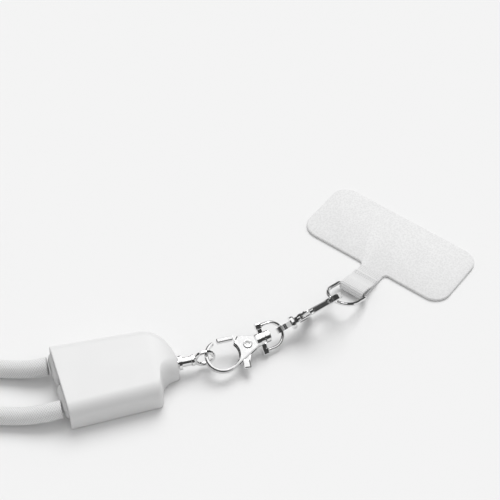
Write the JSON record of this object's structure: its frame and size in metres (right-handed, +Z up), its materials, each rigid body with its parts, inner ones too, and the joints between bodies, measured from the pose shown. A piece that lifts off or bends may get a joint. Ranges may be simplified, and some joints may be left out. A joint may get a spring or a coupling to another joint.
{
  "type": "charging cable lanyard",
  "caption": "Neck lanyard made of a woven charging cable, with a moulded housing for its ends, swivelling claw clasps, a D ring and a cloth tether tab for a phone case.",
  "frame": {"origin": "middle of the housing's flat underside, on the surface the lanyard lies on", "axes": "+Z up, +X to the right from the housing towards the clasps, +Y away across the surface towards the tether tab"},
  "size_m": [0.3301, 0.1058, 0.0136],
  "materials": {
    "white_plastic": "satin moulded white",
    "chrome": "polished plating",
    "white_weave": "matt white weave"
  },
  "bodies": {
    "lanyard": {"housing": "white_plastic", "far_cable_head": "white_plastic", "near_cable_head": "white_plastic", "cord": "white_weave", "swivel_stud": "chrome", "first_clasp": "chrome", "swivel_loop": "chrome", "second_clasp": "chrome", "d_ring": "chrome", "tether_tab": "white_weave"},
    "first_gate": {"first_lever": "chrome"},
    "second_gate": {"second_lever": "chrome"}
  },
  "joints": [
    {"name": "first_gate_hinge", "type": "hinge", "parent": "lanyard", "child": "first_gate", "pos_m": [0.04226, 0.01169, 0.00502], "axis": [0.1356, -0.2206, 0.9659], "range_deg": [0, 22], "stiffness_Nm_per_rad": 0.01},
    {"name": "second_gate_hinge", "type": "hinge", "parent": "lanyard", "child": "second_gate", "pos_m": [0.06092, 0.02247, 0.00664], "axis": [-0.4958, 0.693, 0.5234], "range_deg": [0, 22], "stiffness_Nm_per_rad": 0.01}
  ]
}
